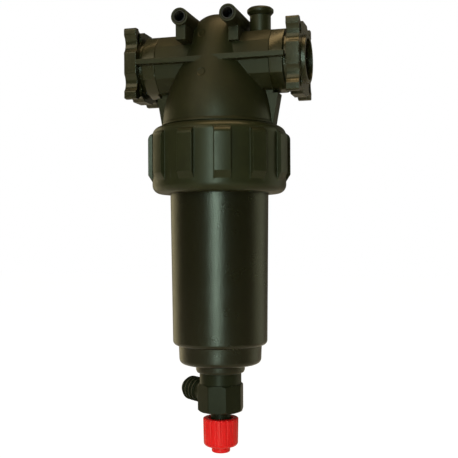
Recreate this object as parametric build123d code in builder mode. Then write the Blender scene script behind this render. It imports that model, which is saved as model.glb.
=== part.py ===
# Pressure line filter: a moulded head with two flanged side ports, a ring nut,
# a long bowl with a cartridge inside, and a drain valve with a hose tail below.
# Millimetres. +Z is up, the ports lie along X, the mounting bosses face -Y,
# and the origin is the lowest point of the drain knob, on the filter's axis.
from build123d import *
from math import cos, radians, sin
import os

os.makedirs("parts", exist_ok=True)

# Fits and clearances
seat_gap = 0.1
thread_gap = 0.3
seal_gap = 0.08
shaft_gap = 0.05
lift_gap = 0.3

# Heights of the stack, from the drain knob up
knob_boss_h = 5.0
knob_h = 22.4
knob_gap = 5.6
valve_h = 22.0
neck_h = 9.0
collar_h = 7.0
step_h = 15.0
bowl_h = 120.0
nut_h = 53.0
port_rise = 50.4

# Ports and flanges
port_bore_r = 16.0
flange_reach = 70.0
flange_t = 10.0
bolt_square = 40.0
bolt_hole_r = 4.25
plate_edge = 8.0
plate_round = 2.0
scallop_r = 9.0
scallop_shift = 4.7
scallop_depth = 3.0
spigot_r = 18.85
spigot_h = 3.0
flange_neck_r = 21.0
flange_neck_l = 3.5
sleeve_r = 24.4
sleeve_facets = 12
joint_reach = 46.0
plug_r = 20.5
plug_l = 14.0
plug_ring_r = 0.95
plug_ring_inset = 5.0

# Head: the dome's curve, which pulls towards each named point, heights from the port line
dome_rise = 39.6
crown_pull = 20.0
shoulder_r = 24.0
shoulder_z = 22.0
waist_r = 32.8
waist_z = -2.4
hip_r = 38.2
hip_z = -17.4
flank_z = -32.0
skirt_wall = 4.1
base_overhang = 0.5
bead_overhang = 1.0
bead_h = 2.2
bead_rise = 1.0
bead_draft = 20.0
chamber_inset = 1.7
chamber_step = 4.0
chamber_draft = 3.5
chamber_roof = 24.0
gusset_w = 14.0
gusset_reach = 50.0
gusset_overhang = 0.8
gusset_sink = 4.0

# Passages in the head
outlet_spigot_r = 18.0
outlet_bore_r = 14.0
outlet_spigot_l = 16.0
passage_r = 17.0
inlet_slot_l = 11.0
inlet_slot_inset = 2.0
inlet_slot_w = 26.0
inlet_slot_round = 4.0

# Mounting bosses with their inserts
boss_spacing = 38.0
boss_rise = 30.0
boss_r = 6.7
boss_reach = 42.0
boss_tail = 14.0
web_t = 8.0
web_foot = 13.0
web_inset = 3.0
short_web_reach = 26.0
insert_r = 5.0
insert_l = 18.0
stud_hole_r = 3.4
stud_hole_l = 15.0

# Gauge port and its plug
gauge_x = 34.4
gauge_r = 8.3
gauge_rise = 36.3
gauge_bore_r = 5.2
cap_r = 10.5
cap_h = 6.3
cap_cone_h = 2.4
cap_rim_h = 2.2
cap_top_r = 8.6
gauge_plug_l = 12.0
gauge_ring_r = 0.8
gauge_ring_depth = 5.0

# Rib round the front of the head, with a tongue over each sleeve
front_rib_t = 4.2
front_rib_y = 31.0
front_rib_reach = 59.0
tongue_gap = 0.3

# Ring nut
nut_wall = 8.8
nut_floor = 7.5
nut_round = 7.0
nut_rib_count = 12
nut_rib_proud = 3.4
nut_rib_w = 12.6
nut_rib_top = 5.2
nut_rib_round = 5.0
nut_rib_foot = 9.5
nut_rib_chamfer = 5.5
nut_rib_turn = -71.6

# Bowl
bowl_top_r = 39.2
bowl_foot_r = 37.7
bowl_wall = 3.2
bowl_flange_t = 6.0
bowl_neck_step = 0.7
bowl_neck_h = 14.0
bowl_neck_gap = 0.3
bowl_ring_r = 1.2
bowl_ring_drop = 5.0
bowl_foot_round = 3.5
step_inset = 4.5
step_draft = 0.6
step_round = 4.0
bowl_floor = 3.6
collar_r = 19.6
collar_foot_r = 18.8
collar_straight = 5.0
cradle_count = 4
cradle_t = 3.0
cradle_h = 6.0
cradle_inner_r = 14.0
cradle_outer_r = 27.0

# Cartridge
cartridge_r = 25.0
mesh_t = 0.5
cage_wall = 2.0
cage_bar_count = 8
cage_bar_w = 4.0
cage_row_count = 6
cage_ring_h = 4.0
cap_lip = 1.5
cap_lip_h = 7.0
cap_disc_t = 4.0
cap_neck_wall = 1.4
cap_neck_l = 12.0
cartridge_overlap = 12.0
cartridge_seal_w = 2.2
cartridge_seal_h = 3.0
cartridge_seal_drop = 5.0
foot_boss_r = 9.0
foot_boss_h = 6.0

# Drain valve
valve_neck_r = 16.7
octagon_sides = 8
octagon_flats = 34.6
octagon_turn = 6.25
octagon_chamfer = 1.6
octagon_cone = 1.4
stub_r = 12.0
stub_l = 9.0
neck_seal_t = 1.2
neck_seal_r = 15.5
valve_inlet_r = 7.0
valve_seat_drop = 5.0
valve_chamber_r = 10.6
tail_facet = 3
tail_rise = 12.0
tail_r = 8.6
tail_barb_r = 10.1
tail_tip_r = 7.6
tail_bore_r = 4.8
tail_l = 46.0
tail_barb_count = 4
tail_barb_pitch = 4.8
bonnet_r = 8.0
bonnet_thread_l = 7.0
bonnet_dip = 5.0
bonnet_ring_r = 0.75
bonnet_ring_rise = 3.0
spindle_r = 4.0
spindle_ring_r = 0.9
spindle_nose_r = 2.5
spindle_nose_l = 1.6
disc_r = 8.8
disc_t = 2.5
washer_r = 8.4
washer_t = 2.0
washer_hole_r = 2.0

# Drain knob
knob_r = 14.2
knob_foot_r = 13.7
knob_round = 3.0
knob_rim_round = 1.2
knob_flutes = 20
knob_flute_r = 1.1
knob_flute_depth = 0.6
knob_flute_foot = 3.0
knob_recess_r = 10.0
knob_recess_l = 12.0
knob_boss_r = 7.4
knob_boss_round = 1.2
hub_floor = 7.4
screw_r = 1.6
screw_head_r = 3.2
screw_head_h = 2.0
screw_inset = 1.0
screw_l = 11.0

# Levels worked out from the stack
knob_top_z = knob_boss_h + knob_h
valve_bottom_z = knob_top_z + knob_gap
valve_top_z = valve_bottom_z + valve_h
collar_bottom_z = valve_top_z + neck_h
step_bottom_z = collar_bottom_z + collar_h
bowl_bottom_z = step_bottom_z + step_h
nut_bottom_z = bowl_bottom_z + bowl_h
nut_top_z = nut_bottom_z + nut_h
port_z = nut_top_z + port_rise

ledge_z = nut_bottom_z + nut_floor
flange_bottom_z = ledge_z + lift_gap
flange_top_z = flange_bottom_z + bowl_flange_t
skirt_bottom_z = flange_top_z + seat_gap
bowl_top_z = flange_top_z + bowl_neck_h
bowl_floor_z = step_bottom_z + bowl_floor
chamber_top_z = port_z - chamber_roof
outlet_spigot_z = chamber_top_z - outlet_spigot_l
boss_z = port_z + boss_rise
gauge_top_z = port_z + gauge_rise
cartridge_bottom_z = bowl_floor_z + cradle_h + seat_gap
cartridge_top_z = outlet_spigot_z + cartridge_overlap

# Radii worked out from the fits, from the bowl's neck out to the nut's ribs
bowl_neck_r = bowl_top_r + bowl_neck_step
neck_bore_r = bowl_neck_r + bowl_neck_gap
skirt_r = neck_bore_r + skirt_wall
head_base_r = skirt_r + base_overhang
bead_r = head_base_r + bead_overhang
gusset_foot = head_base_r + gusset_overhang
nut_bore_r = skirt_r + thread_gap
nut_r = nut_bore_r + nut_wall
nut_rib_r = nut_r + nut_rib_proud
chamber_r = neck_bore_r - chamber_inset
chamber_top_r = chamber_r - chamber_draft
inlet_slot_reach = chamber_top_r - inlet_slot_inset
inlet_end_x = inlet_slot_reach - inlet_slot_l
step_r = bowl_foot_r - step_inset
step_foot_r = step_r - step_draft
bowl_inner_r = bowl_top_r - bowl_wall
bowl_ring_major = neck_bore_r - seal_gap - bowl_ring_r
bowl_groove_r = bowl_ring_major - bowl_ring_r - seat_gap
plug_ring_major = plug_r + seat_gap - shaft_gap - plug_ring_r
plug_groove_r = plug_ring_major - plug_ring_r - seat_gap
mesh_inner_r = cartridge_r + shaft_gap
mesh_outer_r = mesh_inner_r + mesh_t
cap_lip_r = mesh_outer_r + seat_gap
cap_outer_r = cap_lip_r + cap_lip
cap_bore_r = outlet_spigot_r + thread_gap
cap_seal_inner_r = outlet_spigot_r + seal_gap
cap_seal_outer_r = cap_seal_inner_r + cartridge_seal_w
cap_neck_r = cap_seal_outer_r + cap_neck_wall
stub_bore_r = stub_r + seat_gap
seat_z = valve_top_z - valve_seat_drop
disc_top_z = seat_z - seat_gap - washer_t - seat_gap
spindle_top_z = disc_top_z - disc_t - seat_gap
bonnet_bottom_z = knob_top_z - bonnet_dip
recess_floor_z = knob_top_z - knob_recess_l
tail_z = valve_bottom_z + tail_rise
plate_reach = bolt_square / 2 + plate_edge
scallop_at = bolt_square / 2 - scallop_shift
scallop_out = plate_reach - scallop_depth + scallop_r
octagon_half = 180 / octagon_sides
tongue_back_y = sleeve_r / cos(radians(180 / sleeve_facets)) + tongue_gap


def save(piece, name):
    """Label a finished piece and write it to its own file."""
    piece.label = name
    export_step(piece, f"parts/{name}.step")


def o_ring(centre, major_r, minor_r, normal=(0, 0, 1)):
    """An O-ring: a round section swept once about its normal."""
    with BuildPart(Plane(origin=centre, z_dir=normal)) as seal:
        Torus(major_r, minor_r)
    return seal.part


def tube(outer_r, inner_r, low_z, high_z):
    """A plain round tube or washer on the filter's axis."""
    with BuildPart() as piece:
        with BuildSketch(Plane.XY.offset(low_z)):
            Circle(outer_r)
            Circle(inner_r, mode=Mode.SUBTRACT)
        extrude(amount=high_z - low_z)
    return piece.part


# Head: a round dome on a threaded skirt, with the port bosses across it
with BuildPart() as head:
    with BuildSketch(Plane.XZ):
        with BuildLine():
            Bezier(
                (0, port_z + dome_rise),
                (crown_pull, port_z + dome_rise),
                (shoulder_r, port_z + shoulder_z),
                (waist_r, port_z + waist_z),
            )
            Bezier(
                (waist_r, port_z + waist_z),
                (hip_r, port_z + hip_z),
                (head_base_r, port_z + flank_z),
                (head_base_r, nut_top_z),
            )
            Line((head_base_r, nut_top_z), (0, nut_top_z))
            Line((0, nut_top_z), (0, port_z + dome_rise))
        make_face()
    revolve(axis=Axis.Z)
    with BuildSketch(Plane.YZ.offset(-joint_reach)):
        with Locations((0, port_z)):
            RegularPolygon(sleeve_r, sleeve_facets, major_radius=False)
    extrude(amount=2 * joint_reach)
    with BuildSketch(Plane.XZ.offset(-gusset_w / 2)):
        with BuildLine():
            Polyline(
                (-gusset_foot, nut_top_z),
                (gusset_foot, nut_top_z),
                (gusset_reach, port_z - tongue_back_y),
                (joint_reach, port_z - tongue_back_y),
                (joint_reach, port_z - sleeve_r + gusset_sink),
                (-joint_reach, port_z - sleeve_r + gusset_sink),
                (-joint_reach, port_z - tongue_back_y),
                (-gusset_reach, port_z - tongue_back_y),
                close=True,
            )
        make_face()
    extrude(amount=gusset_w)
    # Horizontal rib round the front, which reaches over the sleeves as a tongue
    with BuildSketch(Plane.XY.offset(port_z - front_rib_t / 2)):
        with Locations((0, -front_rib_y / 2)):
            Rectangle(2 * joint_reach, front_rib_y)
        with Locations((0, -(front_rib_y + tongue_back_y) / 2)):
            Rectangle(2 * front_rib_reach, front_rib_y - tongue_back_y)
    extrude(amount=front_rib_t)
    # Mounting bosses with the webs that stand under them, and the gauge port
    with BuildSketch(Plane.XZ.offset(boss_reach)):
        with Locations((-boss_spacing / 2, boss_z), (boss_spacing / 2, boss_z)):
            Circle(boss_r)
    extrude(amount=-boss_reach - boss_tail)
    with BuildSketch(Plane.XZ.offset(boss_reach - web_inset)):
        with Locations((-boss_spacing / 2, (boss_z + port_z + web_foot) / 2)):
            Rectangle(web_t, boss_rise - web_foot)
    extrude(amount=web_inset - boss_reach)
    with BuildSketch(Plane.XZ.offset(short_web_reach)):
        with Locations((boss_spacing / 2, (boss_z + port_z + web_foot) / 2)):
            Rectangle(web_t, boss_rise - web_foot)
    extrude(amount=-short_web_reach)
    with BuildSketch(Plane.XY.offset(port_z)):
        with Locations((gauge_x, 0)):
            Circle(gauge_r)
    extrude(amount=gauge_rise)
    # Threaded skirt, with a bead where it leaves the dome
    with BuildSketch(Plane.XY.offset(skirt_bottom_z)):
        Circle(skirt_r)
    extrude(amount=nut_top_z - skirt_bottom_z)
    with BuildSketch(Plane.XY.offset(nut_top_z + bead_rise)):
        Circle(bead_r)
    extrude(amount=bead_h, taper=bead_draft)
    # Chamber over the cartridge, and the bore that seals on the bowl's neck
    with BuildSketch(Plane.XZ):
        with BuildLine():
            Polyline(
                (0, skirt_bottom_z),
                (neck_bore_r, skirt_bottom_z),
                (neck_bore_r, bowl_top_z + lift_gap),
                (chamber_r, bowl_top_z + chamber_step),
                (chamber_r, nut_top_z),
                (chamber_top_r, chamber_top_z),
                (0, chamber_top_z),
                close=True,
            )
        make_face()
    revolve(axis=Axis.Z, mode=Mode.SUBTRACT)
    # Outlet spigot under the chamber's roof
    with BuildSketch(Plane.XY.offset(outlet_spigot_z)):
        Circle(outlet_spigot_r)
    extrude(amount=outlet_spigot_l)
    with BuildSketch(Plane.XY.offset(outlet_spigot_z)):
        Circle(outlet_bore_r)
    extrude(amount=port_z - outlet_spigot_z, mode=Mode.SUBTRACT)
    # Outlet passage to +X, inlet passage from -X down into the chamber
    with BuildSketch(Plane.YZ):
        with Locations((0, port_z)):
            Circle(passage_r)
    extrude(amount=joint_reach, mode=Mode.SUBTRACT)
    with BuildSketch(Plane.YZ.offset(-inlet_end_x)):
        with Locations((0, port_z)):
            Circle(passage_r)
    extrude(amount=inlet_end_x - joint_reach, mode=Mode.SUBTRACT)
    with BuildSketch(Plane.XY.offset(chamber_top_z)):
        with Locations((-(inlet_end_x + inlet_slot_reach) / 2, 0)):
            RectangleRounded(inlet_slot_reach - inlet_end_x, inlet_slot_w, inlet_slot_round)
    extrude(amount=chamber_roof, mode=Mode.SUBTRACT)
    # Sockets for the flange adapters
    with BuildSketch(Plane.YZ.offset(joint_reach - plug_l - seat_gap)):
        with Locations((0, port_z)):
            Circle(plug_r + seat_gap)
    extrude(amount=plug_l + seat_gap, mode=Mode.SUBTRACT)
    with BuildSketch(Plane.YZ.offset(-joint_reach)):
        with Locations((0, port_z)):
            Circle(plug_r + seat_gap)
    extrude(amount=plug_l + seat_gap, mode=Mode.SUBTRACT)
    # Seats for the threaded inserts, and the gauge port's hole
    with BuildSketch(Plane.XZ.offset(boss_reach)):
        with Locations((-boss_spacing / 2, boss_z), (boss_spacing / 2, boss_z)):
            Circle(insert_r + shaft_gap)
    extrude(amount=-insert_l - seat_gap, mode=Mode.SUBTRACT)
    with BuildSketch(Plane.XY.offset(gauge_top_z)):
        with Locations((gauge_x, 0)):
            Circle(gauge_bore_r)
    extrude(amount=-gauge_rise, mode=Mode.SUBTRACT)
save(head.part, "head")

with BuildPart() as boss_inserts:
    with BuildSketch(Plane.XZ.offset(boss_reach)):
        with Locations((-boss_spacing / 2, boss_z), (boss_spacing / 2, boss_z)):
            Circle(insert_r)
    extrude(amount=-insert_l)
    with BuildSketch(Plane.XZ.offset(boss_reach)):
        with Locations((-boss_spacing / 2, boss_z), (boss_spacing / 2, boss_z)):
            Circle(stud_hole_r)
    extrude(amount=-stud_hole_l, mode=Mode.SUBTRACT)
save(boss_inserts.part, "boss_inserts")


def flange_adapter(side):
    """Plug, faceted sleeve, neck, scalloped plate and spigot, outward from the axis."""

    def level(reach):
        return Plane(origin=(side * reach, 0, port_z), x_dir=(0, 1, 0), z_dir=(side, 0, 0))

    plug_start = joint_reach - plug_l
    plate_start = flange_reach - flange_t
    neck_start = plate_start - flange_neck_l
    with BuildPart() as adapter:
        with BuildSketch(level(plug_start)):
            Circle(plug_r)
        extrude(amount=plug_l + seat_gap)
        with BuildSketch(level(joint_reach + seat_gap)):
            RegularPolygon(sleeve_r, sleeve_facets, major_radius=False)
        extrude(amount=neck_start - joint_reach - seat_gap)
        with BuildSketch(level(neck_start)):
            Circle(flange_neck_r)
        extrude(amount=flange_neck_l)
        with BuildSketch(level(plate_start)) as plate:
            Rectangle(2 * plate_reach, 2 * plate_reach)
            with GridLocations(2 * scallop_at, 2 * scallop_out, 2, 2):
                Circle(scallop_r, mode=Mode.SUBTRACT)
            with GridLocations(2 * scallop_out, 2 * scallop_at, 2, 2):
                Circle(scallop_r, mode=Mode.SUBTRACT)
            fillet(plate.vertices(), plate_round)
        extrude(amount=flange_t)
        with BuildSketch(level(flange_reach)):
            Circle(spigot_r)
        extrude(amount=spigot_h)
        with BuildSketch(level(flange_reach)):
            with GridLocations(bolt_square, bolt_square, 2, 2):
                Circle(bolt_hole_r)
        extrude(amount=-flange_t, mode=Mode.SUBTRACT)
        with BuildSketch(level(joint_reach - plug_ring_inset - plug_ring_r - seat_gap)):
            Circle(plug_r)
            Circle(plug_groove_r, mode=Mode.SUBTRACT)
        extrude(amount=2 * plug_ring_r + 2 * seat_gap, mode=Mode.SUBTRACT)
        with BuildSketch(level(plug_start)):
            Circle(port_bore_r)
        extrude(amount=flange_reach + spigot_h - plug_start, mode=Mode.SUBTRACT)
    return adapter.part


for side, port in ((-1, "inlet"), (1, "outlet")):
    save(flange_adapter(side), f"{port}_flange_adapter")
    ring_centre = (side * (joint_reach - plug_ring_inset), 0, port_z)
    save(o_ring(ring_centre, plug_ring_major, plug_ring_r, (1, 0, 0)), f"{port}_adapter_o_ring")

# Gauge plug: a mushroom cap on a shank with its own O-ring
gauge_groove_r = gauge_bore_r - shaft_gap - 2 * gauge_ring_r - seat_gap
cap_bottom_z = gauge_top_z + seat_gap
with BuildPart() as gauge_plug:
    with BuildSketch(Plane(origin=(gauge_x, 0, 0), x_dir=(1, 0, 0), z_dir=(0, -1, 0))):
        with BuildLine():
            Polyline(
                (0, gauge_top_z - gauge_plug_l),
                (gauge_bore_r - seat_gap, gauge_top_z - gauge_plug_l),
                (gauge_bore_r - seat_gap, cap_bottom_z),
                (gauge_r, cap_bottom_z),
                (cap_r, cap_bottom_z + cap_cone_h),
                (cap_r, cap_bottom_z + cap_cone_h + cap_rim_h),
                (cap_top_r, gauge_top_z + cap_h),
                (0, gauge_top_z + cap_h),
                close=True,
            )
        make_face()
        with Locations((gauge_bore_r, gauge_top_z - gauge_ring_depth)):
            Rectangle(
                2 * (gauge_bore_r - gauge_groove_r),
                2 * gauge_ring_r + 2 * seat_gap,
                mode=Mode.SUBTRACT,
            )
    revolve(axis=Axis((gauge_x, 0, 0), (0, 0, 1)))
save(gauge_plug.part, "gauge_plug")
gauge_ring_centre = (gauge_x, 0, gauge_top_z - gauge_ring_depth)
save(o_ring(gauge_ring_centre, gauge_bore_r - shaft_gap - gauge_ring_r, gauge_ring_r), "gauge_plug_o_ring")

# Ring nut: ribs trimmed by one turned envelope, round a turned barrel
with BuildPart() as ring_nut:
    with BuildSketch(Plane.XY.offset(nut_bottom_z + nut_rib_foot)):
        with PolarLocations(nut_r, nut_rib_count, start_angle=nut_rib_turn):
            Rectangle(4 * (nut_rib_r - nut_r), nut_rib_w)
    extrude(amount=nut_h - nut_rib_foot - nut_rib_top)
    with BuildSketch(Plane.XZ) as envelope:
        with BuildLine():
            Polyline(
                (nut_bore_r, nut_bottom_z + nut_rib_foot),
                (nut_r, nut_bottom_z + nut_rib_foot),
                (nut_rib_r, nut_bottom_z + nut_rib_foot + nut_rib_chamfer),
                (nut_rib_r, nut_top_z - nut_rib_top),
                (nut_bore_r, nut_top_z - nut_rib_top),
                close=True,
            )
        make_face()
        fillet(envelope.vertices().sort_by_distance((nut_rib_r, nut_top_z - nut_rib_top))[0], nut_rib_round)
    revolve(axis=Axis.Z, mode=Mode.INTERSECT)
    with BuildSketch(Plane.XZ) as barrel:
        with BuildLine():
            Polyline(
                (bowl_top_r + lift_gap, nut_bottom_z),
                (nut_r, nut_bottom_z),
                (nut_r, nut_top_z),
                (nut_bore_r, nut_top_z),
                (nut_bore_r, ledge_z),
                (bowl_top_r + lift_gap, ledge_z),
                close=True,
            )
        make_face()
        fillet(barrel.vertices().group_by(Axis.X)[-1], nut_round)
    revolve(axis=Axis.Z)
save(ring_nut.part, "ring_nut")

# Bowl: flange and sealed neck at the top, tapered wall, stepped foot, drain collar
with BuildPart() as bowl:
    with BuildSketch(Plane.XZ) as shell:
        with BuildLine():
            Polyline(
                (stub_bore_r, collar_bottom_z),
                (collar_foot_r, collar_bottom_z),
                (collar_r, step_bottom_z - collar_straight),
                (collar_r, step_bottom_z),
                (step_foot_r, step_bottom_z),
                (step_r, bowl_bottom_z),
                (bowl_foot_r, bowl_bottom_z),
                (bowl_top_r, nut_bottom_z),
                (bowl_top_r, flange_bottom_z),
                (skirt_r, flange_bottom_z),
                (skirt_r, flange_top_z),
                (bowl_neck_r, flange_top_z),
                (bowl_neck_r, bowl_top_z),
                (bowl_inner_r, bowl_top_z),
                (bowl_inner_r, nut_bottom_z),
                (bowl_foot_r - bowl_wall, bowl_bottom_z + bowl_wall),
                (step_r - bowl_wall, bowl_bottom_z),
                (step_foot_r - bowl_wall, bowl_floor_z),
                (stub_bore_r, bowl_floor_z),
                close=True,
            )
        make_face()
        fillet(shell.vertices().sort_by_distance((bowl_foot_r, bowl_bottom_z))[0], bowl_foot_round)
        fillet(shell.vertices().sort_by_distance((step_foot_r, step_bottom_z))[0], step_round)
        with Locations((bowl_neck_r, bowl_top_z - bowl_ring_drop)):
            Rectangle(
                2 * (bowl_neck_r - bowl_groove_r),
                2 * bowl_ring_r + 2 * seat_gap,
                mode=Mode.SUBTRACT,
            )
    revolve(axis=Axis.Z)
    # Fins that carry the cartridge clear of the drain
    with BuildSketch(Plane.XY.offset(bowl_floor_z - seat_gap)):
        with PolarLocations((cradle_inner_r + cradle_outer_r) / 2, cradle_count):
            Rectangle(cradle_outer_r - cradle_inner_r, cradle_t)
    extrude(amount=cradle_h + seat_gap)
save(bowl.part, "bowl")
save(o_ring((0, 0, bowl_top_z - bowl_ring_drop), bowl_ring_major, bowl_ring_r), "bowl_o_ring")

# Cartridge: two caps, a windowed cage between them and the mesh round the cage
cage_bottom_z = cartridge_bottom_z + cap_disc_t + seat_gap
cage_top_z = cartridge_top_z - cap_disc_t - seat_gap
cage_h = cage_top_z - cage_bottom_z
cage_row_pitch = (cage_h - cage_ring_h) / cage_row_count
with BuildPart() as cartridge_cage:
    with BuildSketch(Plane.XY.offset(cage_bottom_z)):
        Circle(cartridge_r)
        Circle(cartridge_r - cage_wall, mode=Mode.SUBTRACT)
    extrude(amount=cage_h)
    for row in range(cage_row_count):
        with BuildSketch(Plane.XY.offset(cage_bottom_z + cage_ring_h + row * cage_row_pitch)):
            Circle(cartridge_r + seat_gap)
            Circle(cartridge_r - cage_wall - seat_gap, mode=Mode.SUBTRACT)
            with PolarLocations(cartridge_r, cage_bar_count):
                Rectangle(4 * cage_wall, cage_bar_w, mode=Mode.SUBTRACT)
        extrude(amount=cage_row_pitch - cage_ring_h, mode=Mode.SUBTRACT)
save(cartridge_cage.part, "cartridge_cage")
save(tube(mesh_outer_r, mesh_inner_r, cage_bottom_z, cage_top_z), "filter_mesh")

with BuildPart() as cartridge_top_cap:
    with BuildSketch(Plane.XZ):
        with BuildLine():
            Polyline(
                (cap_bore_r, cartridge_top_z),
                (cap_outer_r, cartridge_top_z),
                (cap_outer_r, cartridge_top_z - cap_lip_h),
                (cap_lip_r, cartridge_top_z - cap_lip_h),
                (cap_lip_r, cartridge_top_z - cap_disc_t),
                (cap_neck_r, cartridge_top_z - cap_disc_t),
                (cap_neck_r, cartridge_top_z - cap_neck_l),
                (cap_bore_r, cartridge_top_z - cap_neck_l),
                close=True,
            )
        make_face()
        with Locations((cap_bore_r, cartridge_top_z - cartridge_seal_drop)):
            Rectangle(
                2 * (cap_seal_outer_r + shaft_gap - cap_bore_r),
                cartridge_seal_h + 2 * seat_gap,
                mode=Mode.SUBTRACT,
            )
    revolve(axis=Axis.Z)
save(cartridge_top_cap.part, "cartridge_top_cap")
seal_middle_z = cartridge_top_z - cartridge_seal_drop
cartridge_seal = tube(
    cap_seal_outer_r,
    cap_seal_inner_r,
    seal_middle_z - cartridge_seal_h / 2,
    seal_middle_z + cartridge_seal_h / 2,
)
save(cartridge_seal, "cartridge_seal")

with BuildPart() as cartridge_bottom_cap:
    with BuildSketch(Plane.XY.offset(cartridge_bottom_z)):
        Circle(cap_outer_r)
    extrude(amount=cap_lip_h)
    with BuildSketch(Plane.XY.offset(cartridge_bottom_z + cap_disc_t)):
        Circle(cap_lip_r)
        Circle(foot_boss_r, mode=Mode.SUBTRACT)
    extrude(amount=cap_lip_h - cap_disc_t, mode=Mode.SUBTRACT)
    with BuildSketch(Plane.XY.offset(cartridge_bottom_z + cap_disc_t)):
        Circle(foot_boss_r)
    extrude(amount=foot_boss_h)
save(cartridge_bottom_cap.part, "cartridge_bottom_cap")

# Drain valve body: octagon, neck and threaded stub, with the hose tail on one facet
tail_angle = radians(octagon_turn - 2 * tail_facet * octagon_half)
tail_dir = Vector(sin(tail_angle), -cos(tail_angle), 0)
tail_line = Axis((0, 0, tail_z), tail_dir)
octagon_corner_r = octagon_flats / 2 / cos(radians(octagon_half))
with BuildPart() as valve_body:
    with BuildSketch(Plane.XY.offset(valve_bottom_z)):
        RegularPolygon(
            octagon_flats / 2, octagon_sides, major_radius=False, rotation=octagon_turn + octagon_half
        )
    extrude(amount=valve_h)
    with BuildSketch(Plane.XZ):
        with BuildLine():
            Polyline(
                (0, valve_bottom_z),
                (octagon_corner_r - octagon_chamfer, valve_bottom_z),
                (octagon_corner_r, valve_bottom_z + octagon_cone),
                (octagon_corner_r, valve_top_z - octagon_cone),
                (octagon_corner_r - octagon_chamfer, valve_top_z),
                (0, valve_top_z),
                close=True,
            )
        make_face()
    revolve(axis=Axis.Z, mode=Mode.INTERSECT)
    with BuildSketch(Plane.XY.offset(valve_top_z)):
        Circle(valve_neck_r)
    extrude(amount=neck_h - seat_gap)
    with BuildSketch(Plane.XY.offset(collar_bottom_z - seat_gap)):
        Circle(stub_r)
    extrude(amount=stub_l)
    with BuildSketch(Plane(origin=(0, 0, tail_z), x_dir=tail_dir, z_dir=(tail_dir.Y, -tail_dir.X, 0))):
        with BuildLine():
            outline = [(0, 0), (0, tail_r)]
            for barb in range(tail_barb_count):
                barb_x = tail_l - (tail_barb_count - barb) * tail_barb_pitch
                outline += [(barb_x, tail_r), (barb_x, tail_barb_r)]
            outline += [(tail_l, tail_tip_r), (tail_l, 0)]
            Polyline(*outline, close=True)
        make_face()
    revolve(axis=tail_line)
    # Waterway: stub, seat, valve chamber and tail
    with BuildSketch(Plane.XY.offset(seat_z)):
        Circle(valve_inlet_r)
    extrude(amount=collar_bottom_z + stub_l - seat_z, mode=Mode.SUBTRACT)
    with BuildSketch(Plane.XY.offset(valve_bottom_z)):
        Circle(valve_chamber_r)
    extrude(amount=seat_z - valve_bottom_z, mode=Mode.SUBTRACT)
    with BuildSketch(Plane(origin=(0, 0, tail_z), z_dir=tail_dir)):
        Circle(tail_bore_r)
    extrude(amount=tail_l, mode=Mode.SUBTRACT)
    # Recess for the neck's flat seal
    with BuildSketch(Plane.XY.offset(collar_bottom_z - seat_gap)):
        Circle(neck_seal_r + shaft_gap)
        Circle(stub_r, mode=Mode.SUBTRACT)
    extrude(amount=-neck_seal_t, mode=Mode.SUBTRACT)
save(valve_body.part, "valve_body")
neck_seal = tube(
    neck_seal_r,
    stub_r + shaft_gap,
    collar_bottom_z - seat_gap - neck_seal_t + shaft_gap,
    collar_bottom_z - shaft_gap,
)
save(neck_seal, "neck_seal")

# Bonnet: screwed into the valve body from below, with an O-ring outside and one inside
bonnet_ring_major = valve_chamber_r - shaft_gap - bonnet_ring_r
spindle_ring_major = spindle_r + seal_gap + spindle_ring_r
spindle_ring_z = valve_bottom_z + bonnet_ring_rise
with BuildPart() as bonnet:
    with BuildSketch(Plane.XZ):
        with BuildLine():
            Polyline(
                (spindle_r + shaft_gap, bonnet_bottom_z),
                (bonnet_r, bonnet_bottom_z),
                (bonnet_r, valve_bottom_z),
                (valve_chamber_r - seat_gap, valve_bottom_z),
                (valve_chamber_r - seat_gap, valve_bottom_z + bonnet_thread_l),
                (spindle_r + shaft_gap, valve_bottom_z + bonnet_thread_l),
                close=True,
            )
        make_face()
        with Locations((valve_chamber_r, spindle_ring_z)):
            Rectangle(
                4 * bonnet_ring_r + 4 * seat_gap,
                2 * bonnet_ring_r + 2 * seat_gap,
                mode=Mode.SUBTRACT,
            )
        with Locations((spindle_r, spindle_ring_z)):
            Rectangle(
                4 * spindle_ring_r + 4 * seat_gap,
                2 * spindle_ring_r + 2 * seat_gap,
                mode=Mode.SUBTRACT,
            )
    revolve(axis=Axis.Z)
save(bonnet.part, "bonnet")
save(o_ring((0, 0, spindle_ring_z), bonnet_ring_major, bonnet_ring_r), "bonnet_o_ring")
save(o_ring((0, 0, spindle_ring_z), spindle_ring_major, spindle_ring_r), "spindle_o_ring")

# Valve disc with its washer, which the spindle's nose carries
with BuildPart() as valve_disc:
    with BuildSketch(Plane.XY.offset(disc_top_z - disc_t)):
        Circle(disc_r)
    extrude(amount=disc_t)
    with BuildSketch(Plane.XY.offset(disc_top_z - disc_t)):
        Circle(spindle_nose_r + shaft_gap)
    extrude(amount=spindle_nose_l, mode=Mode.SUBTRACT)
save(valve_disc.part, "valve_disc")
save(tube(washer_r, washer_hole_r, disc_top_z + shaft_gap, seat_z - seat_gap), "seat_washer")

with BuildPart() as spindle:
    with BuildSketch(Plane.XY.offset(hub_floor + seat_gap)):
        Circle(spindle_r)
    extrude(amount=spindle_top_z - hub_floor - seat_gap)
    with BuildSketch(Plane.XY.offset(spindle_top_z)):
        Circle(spindle_nose_r)
    extrude(amount=spindle_nose_l)
    with BuildSketch(Plane.XY.offset(hub_floor + seat_gap)):
        Circle(screw_r + shaft_gap)
    extrude(amount=screw_inset + screw_head_h + screw_l - hub_floor, mode=Mode.SUBTRACT)
save(spindle.part, "spindle")

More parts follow.
